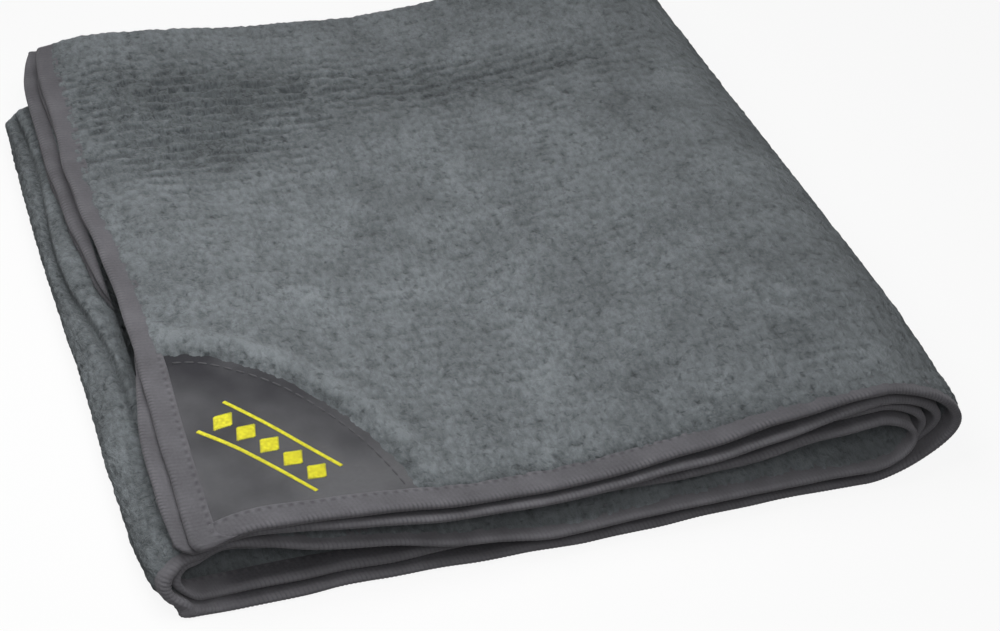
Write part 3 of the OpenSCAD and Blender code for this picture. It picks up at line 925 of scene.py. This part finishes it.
def end_edging(name, node, outer, inner, upward, back_lie):
    """The band over a panel's free end: along one ply, round the back fold and along the other ply."""
    run = BACK_CENTRE - FRONT
    bend = math.pi * (PITCH / 2)
    total = 2 * run + bend

    def place(u, d, h):
        turn = np.pi * np.clip((u - run) / bend, 0, 1)
        y = np.where(u < run, FRONT + u, np.where(u > run + bend, FRONT + total - u, BACK_CENTRE))
        weight = (1 + np.cos(turn)) / 2
        end = end_place(outer, y) * weight + end_place(inner, y) * (1 - weight)
        x = end + d
        zo, zi = ply_height(outer, x), ply_height(inner, x)
        push_o, lift_o = edge_lie(outer, x)
        push_i, lift_i = edge_lie(inner, x)
        push = push_o * weight + push_i * (1 - weight)
        lift = lift_o * weight + lift_i * (1 - weight)
        bent = (turn > 0) & (turn < np.pi)
        half_gap = (zo - zi) / 2 * upward
        off = np.where(bent, half_gap, 0) + h
        z = np.where(bent, (zo + zi) / 2, np.where(turn < 1, zo, zi)) + upward * np.cos(turn) * off
        y = y + np.sin(turn) * off
        fade = 1 - smooth((y - FRONT) / EDGE_FADE)
        y = y + push * fade
        return np.stack(settle(x, y + back_corner(x, y) * back_lie, z + lift * fade), axis=-1)
    piece = edging_tube(name, spaced(0, total, THREAD_STEP), place, True)
    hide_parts(node)
    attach(piece, "upper")


end_edging("end_edging_tucked_thread", "end_edging_tucked", 4, 5, -1, TUCKED_BACK)
end_edging("end_edging_top_thread", "end_edging_top", 7, 6, 1, 0)

# The corner patch is a smooth dark woven cloth, sewn where the pile is cut away in the top panel's front
# left corner. Two of its sides lie under the edging and the third is a shallow curve.
PATCH_CLOTH = 0.5
PATCH_LOW = 0.14


def patch_height(x, y):
    """Height of the patch's upper face: it follows the top ply, with soft wrinkles."""
    waves = 0.16 * np.sin((x * 0.9 + y * 0.25) / 2.6 + 2.0 * np.sin(y / 17)) * np.sin(y / 11 + x / 23)
    waves = waves + 0.22 * (lattice(x + 300, y + 300, 13.0, 41) - 0.5)
    return PATCH_LOW + PATCH_CLOTH + waves


def on_top(x, y, above):
    """A place on the top ply, lifted above its middle and settled with it."""
    push, lift = edge_lie(7, x)
    fade = 1 - smooth((y - FRONT) / EDGE_FADE)
    return np.stack(settle(x, y + push * fade, ply_height(7, x) + above + lift * fade), axis=-1)


PATCH_TUCK = 0.9
SPARE = 2.0
CUTS = 26
bm = bmesh.new()
bmesh.ops.create_grid(bm, x_segments=88, y_segments=88, size=0.5)
blank = Matrix.Diagonal((PATCH_WIDTH + 2 * SPARE, PATCH_DEPTH + 2 * SPARE, 1, 1))
bmesh.ops.transform(bm, verts=bm.verts, matrix=blank)
bmesh.ops.translate(bm, verts=bm.verts, vec=(PATCH_X - PATCH_TUCK + PATCH_WIDTH / 2 + SPARE,
                                             PATCH_Y - PATCH_TUCK + PATCH_DEPTH / 2 + SPARE, 0))
first = math.atan2(PATCH_Y - PATCH_TUCK - PATCH_CENTRE[1], PATCH_X + PATCH_WIDTH + SPARE - PATCH_CENTRE[0])
last = math.atan2(PATCH_Y + PATCH_DEPTH + SPARE - PATCH_CENTRE[1], PATCH_X - PATCH_TUCK - PATCH_CENTRE[0])
for angle in np.linspace(first, last, CUTS):
    outward = Vector((math.cos(angle), math.sin(angle), 0))
    reach = Vector((*PATCH_CENTRE, 0)) + outward * (PATCH_RADIUS + PATCH_TUCK)
    bmesh.ops.bisect_plane(bm, geom=bm.verts[:] + bm.edges[:] + bm.faces[:], plane_co=reach,
                           plane_no=outward, clear_outer=True)
flat = np.array([v.co for v in bm.verts])
lifted = on_top(flat[:, 0], flat[:, 1], patch_height(flat[:, 0], flat[:, 1])) * MM
for vert, place in zip(bm.verts, lifted):
    vert.co = place
weave = bm.verts.layers.float_vector.new("sheet")
for vert, place in zip(bm.verts, flat):
    vert[weave] = place
bmesh.ops.recalc_face_normals(bm, faces=bm.faces)
for face in bm.faces:
    face.smooth = True
mesh = bpy.data.meshes.new("corner_patch_cloth")
bm.to_mesh(mesh)
bm.free()
patch = add_object("corner_patch_cloth", mesh)
thick = patch.modifiers.new("thickness", "SOLIDIFY")
thick.thickness = PATCH_CLOTH * MM
thick.offset = -1.0

patch_cloth, tree = new_material("patch_cloth")
where = add_node(tree, "ShaderNodeAttribute", attribute_name="sheet").outputs["Vector"]
threads = add_node(tree, "ShaderNodeTexBrick", {
    "Vector": where, "Color1": (0.9, 0.9, 0.9, 1), "Color2": (1.0, 1.0, 1.0, 1),
    "Mortar": (0.55, 0.55, 0.55, 1), "Scale": 1.0, "Mortar Size": 0.05, "Mortar Smooth": 1.0,
    "Brick Width": 0.62, "Row Height": 0.31}).outputs["Color"]
clouds = add_noise(tree, where, 0.06, 2.0)
place = add_node(tree, "ShaderNodeSeparateXYZ", {0: where})
# painted reflection: the patch is painted darker towards its back and lighter towards the front band,
# standing in for the cloth's sheen
fade = add_range(tree, place.outputs["Y"], PATCH_Y + PATCH_DEPTH, PATCH_Y, -0.25, 0.25)
share = add_math(tree, "ADD", clouds, fade)
colour = add_ramp(tree, share, 0.2, (0.030, 0.030, 0.035), 0.8, (0.128, 0.128, 0.136))
colour = multiplied(tree, colour, threads)
finish_material(tree, colour, threads, 0.5, 0.0001, {
    "Roughness": 0.65, "Specular IOR Level": 0.15, "Sheen Weight": 0.05, "Sheen Roughness": 0.4})
mesh.materials.append(patch_cloth)
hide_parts("corner_patch")
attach(patch, "upper")

# The patch's curved side is held by a row of short stitches in a dark thread, sewn through the patch
# and the top panel. Each stitch is one bead of thread on the cloth.
SEAM_INSET = 2.0
SEAM_PITCH = 3.1
STITCH_SHARE = 0.74
SEAM_THREAD = (0.55, 0.36)
SEAM_ABOVE = 0.06


def add_stitch(bm, start, end, width, height):
    """One thread between two places, as a long rounded bead."""
    start, end = Vector(start), Vector(end)
    along = end - start
    across = Vector((0, 0, 1)).cross(along).normalized()
    above = along.normalized().cross(across)
    bead = bmesh.ops.create_uvsphere(bm, u_segments=6, v_segments=5, radius=1.0)["verts"]
    for vert in bead:
        c = vert.co
        long = math.copysign(abs(c.z) ** 0.45, c.z)
        side = across * (c.x * width / 2) + above * (c.y * height / 2)
        vert.co = (start + end) / 2 + along / 2 * long + side


def finish_stitches(name, bm, material, node):
    bmesh.ops.transform(bm, verts=bm.verts, matrix=Matrix.Scale(MM, 4))
    bmesh.ops.recalc_face_normals(bm, faces=bm.faces)
    for face in bm.faces:
        face.smooth = True
    mesh = bpy.data.meshes.new(name)
    bm.to_mesh(mesh)
    bm.free()
    mesh.materials.append(material)
    piece = add_object(name, mesh)
    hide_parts(node)
    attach(piece, "upper")


def new_thread(name, dark, light):
    material, tree = new_material(name)
    coords = add_node(tree, "ShaderNodeTexCoord")
    twist = add_noise(tree, coords.outputs["Object"], 1500.0, 2.0)
    colour = add_ramp(tree, twist, 0.3, dark, 0.7, light)
    finish_material(tree, colour, twist, 0.4, 0.0001, {"Roughness": 0.5, "Specular IOR Level": 0.4})
    return material


def on_patch(x, y, above):
    return on_top(np.array(x), np.array(y), patch_height(x, y) + above)


bm = bmesh.new()
ring = PATCH_RADIUS - SEAM_INSET
step = SEAM_PITCH / ring
angle = math.asin((PATCH_Y + 1.5 - PATCH_CENTRE[1]) / ring)
while PATCH_CENTRE[0] + ring * math.cos(angle + step) > PATCH_X + 1.0:
    ends = [on_patch(PATCH_CENTRE[0] + ring * math.cos(a), PATCH_CENTRE[1] + ring * math.sin(a), SEAM_ABOVE)
            for a in (angle, angle + STITCH_SHARE * step)]
    add_stitch(bm, *ends, *SEAM_THREAD)
    angle += step
seam_thread = new_thread("seam_thread", (0.032, 0.032, 0.036), (0.056, 0.056, 0.062))
finish_stitches("patch_seam_thread", bm, seam_thread, "patch_seam")

# A plain border is embroidered on the patch, along its curve, in satin stitch of a bright yellow thread:
# a row of lozenges between two lines.
MOTIF_X = 17.5
MOTIF_Y = 18.0
MOTIF_COUNT = 5
MOTIF_PITCH = 6.4
LOZENGE = (5.0, 7.0)
LINE_AT = 5.1
LINE_WIDTH = 1.0
SATIN = 0.34
SATIN_WIDTH = 0.42
SATIN_ABOVE = 0.02
MOTIF_TURN = -math.atan2(PATCH_DEPTH, PATCH_WIDTH)


def on_row(u, v, above):
    x = PATCH_X + MOTIF_X + u * math.cos(MOTIF_TURN) - v * math.sin(MOTIF_TURN)
    y = PATCH_Y + MOTIF_Y + u * math.sin(MOTIF_TURN) + v * math.cos(MOTIF_TURN)
    return on_patch(x, y, above)


def add_satin(bm, u, low, high, slant, height):
    """One satin stitch across the row."""
    ends = on_row(u - slant, low, SATIN_ABOVE), on_row(u + slant, high, SATIN_ABOVE)
    add_stitch(bm, *ends, SATIN_WIDTH, height)


bm = bmesh.new()
for k in range(MOTIF_COUNT):
    middle_u = (k - (MOTIF_COUNT - 1) / 2) * MOTIF_PITCH
    for u in spaced(-LOZENGE[0] / 2 + 0.3, LOZENGE[0] / 2 - 0.3, SATIN):
        v = LOZENGE[1] / 2 * (1 - abs(u) / (LOZENGE[0] / 2)) + 0.15
        add_satin(bm, middle_u + u, -v, v, 0.1, 0.5)
row = MOTIF_COUNT * MOTIF_PITCH / 2
for side in (-1, 1):
    for u in spaced(-row, row, SATIN):
        low, high = side * LINE_AT - LINE_WIDTH / 2, side * LINE_AT + LINE_WIDTH / 2
        add_satin(bm, u, low, high, 0.15, 0.46)
embroidery_thread = new_thread("embroidery_thread", (0.60, 0.55, 0.02), (0.86, 0.82, 0.04))
finish_stitches("patch_motif_thread", bm, embroidery_thread, "patch_motif")
